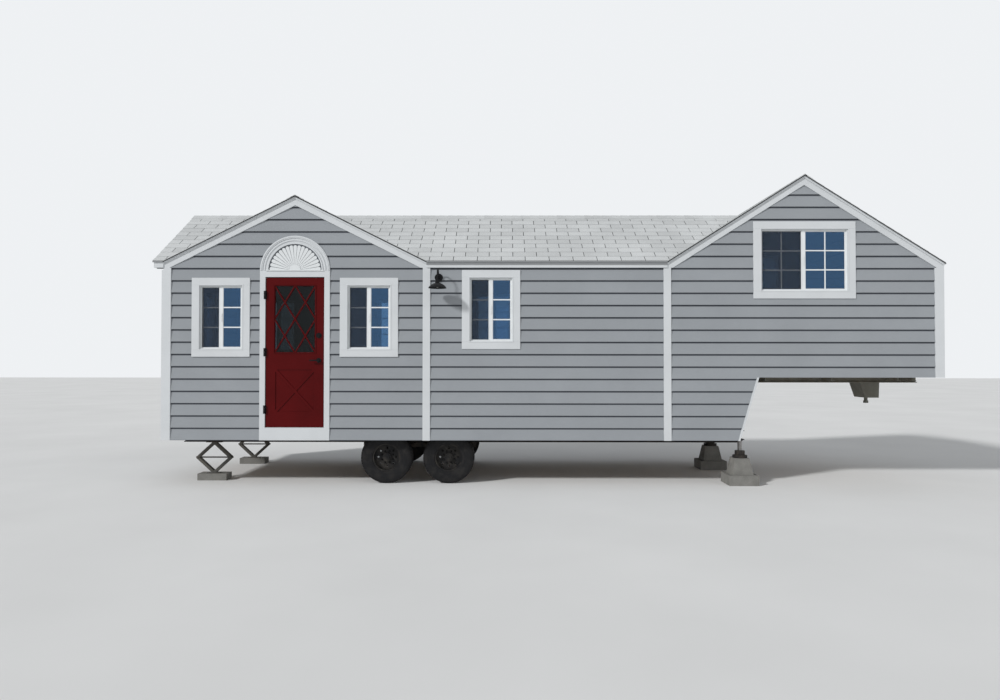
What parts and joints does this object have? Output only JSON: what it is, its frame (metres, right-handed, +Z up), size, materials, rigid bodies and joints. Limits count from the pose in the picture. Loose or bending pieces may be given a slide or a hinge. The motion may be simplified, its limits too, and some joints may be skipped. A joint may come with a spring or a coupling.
{
  "type": "tiny house on wheels",
  "caption": "Gooseneck tiny house on wheels: lap siding, crossing gable roofs, a loft over the raised nose, a door that opens and wheels that turn.",
  "frame": {"origin": "on the ground, under the middle of the box round the whole house", "axes": "+X along the house from the rear end towards the gooseneck's nose, -Y out of the long front with the door, +Z up"},
  "size_m": [10.653, 2.887, 4.189],
  "materials": {
    "siding": "painted grey lap siding with embossed grain",
    "plywood": "plain plywood",
    "shingles": "mineral granules on asphalt",
    "trim": "satin off-white paint",
    "vinyl": "white vinyl",
    "glass": "clear double glazing",
    "door_paint": "dark red satin paint",
    "hardware": "black powder coat",
    "chassis": "black chassis paint, dusty",
    "concrete": "rough cast concrete",
    "rim": "black wheel paint, dusty",
    "rubber": "worn tyre rubber"
  },
  "bodies": {
    "house": {"front_wall_left": "siding", "front_wall_over_door": "siding", "front_wall_under_door": "siding", "front_wall_right": "siding", "front_wall_middle": "siding", "front_wall_loft": "siding", "back_wall_entry": "siding", "back_wall_middle": "siding", "back_wall_loft": "siding", "rear_end_wall": "siding", "nose_wall": "siding", "kick_wall": "siding", "floor_deck": "plywood", "loft_deck": "plywood", "main_roof_front": "shingles", "main_roof_back": "shingles", "entry_roof": "shingles", "loft_roof_rear_slope": "shingles", "loft_roof_nose_slope": "shingles", "ridge_caps": "shingles", "rake_boards": "trim", "eave_fascias": "trim", "corner_boards": "trim", "window_frames": "vinyl", "window_casings": "trim", "window_glass": "glass", "door_frame": "trim", "door_surround": "trim", "fan_light": "trim", "frame_hinges": "hardware", "wall_lamp": "hardware", "front_rail": "chassis", "back_rail": "chassis", "cross_members": "chassis", "pin_box": "chassis", "axles": "chassis", "leaf_springs": "chassis", "rear_jacks": "chassis", "blocks": "concrete", "pier_jacks": "chassis"},
    "door": {"door_leaf": "door_paint", "door_glass": "glass", "door_lattice": "door_paint", "door_hinges": "hardware", "door_roses": "hardware"},
    "lever": {"door_lever": "hardware"},
    "wheel_front_1": {"rim_front_1": "rim", "tyre_front_1": "rubber"},
    "wheel_front_2": {"rim_front_2": "rim", "tyre_front_2": "rubber"},
    "wheel_back_1": {"rim_back_1": "rim", "tyre_back_1": "rubber"},
    "wheel_back_2": {"rim_back_2": "rim", "tyre_back_2": "rubber"}
  },
  "joints": [
    {"name": "door_swing", "type": "hinge", "parent": "house", "child": "door", "pos_m": [-3.8055, -1.1395, 1.7845], "axis": [0, 0, -1], "range_deg": [0, 150]},
    {"name": "lever_turn", "type": "hinge", "parent": "door", "child": "lever", "pos_m": [-3.0865, -1.1185, 1.675], "axis": [0, -1, 0], "range_deg": [0, 50], "stiffness_Nm_per_rad": 1.2},
    {"name": "wheel_front_1_roll", "type": "hinge", "parent": "house", "child": "wheel_front_1", "pos_m": [-2.1955, -0.879, 0.35], "axis": [0, 1, 0], "continuous": true},
    {"name": "wheel_front_2_roll", "type": "hinge", "parent": "house", "child": "wheel_front_2", "pos_m": [-1.3465, -0.879, 0.35], "axis": [0, 1, 0], "continuous": true},
    {"name": "wheel_back_1_roll", "type": "hinge", "parent": "house", "child": "wheel_back_1", "pos_m": [-2.1955, 1.166, 0.35], "axis": [0, 1, 0], "continuous": true},
    {"name": "wheel_back_2_roll", "type": "hinge", "parent": "house", "child": "wheel_back_2", "pos_m": [-1.3465, 1.166, 0.35], "axis": [0, 1, 0], "continuous": true}
  ]
}
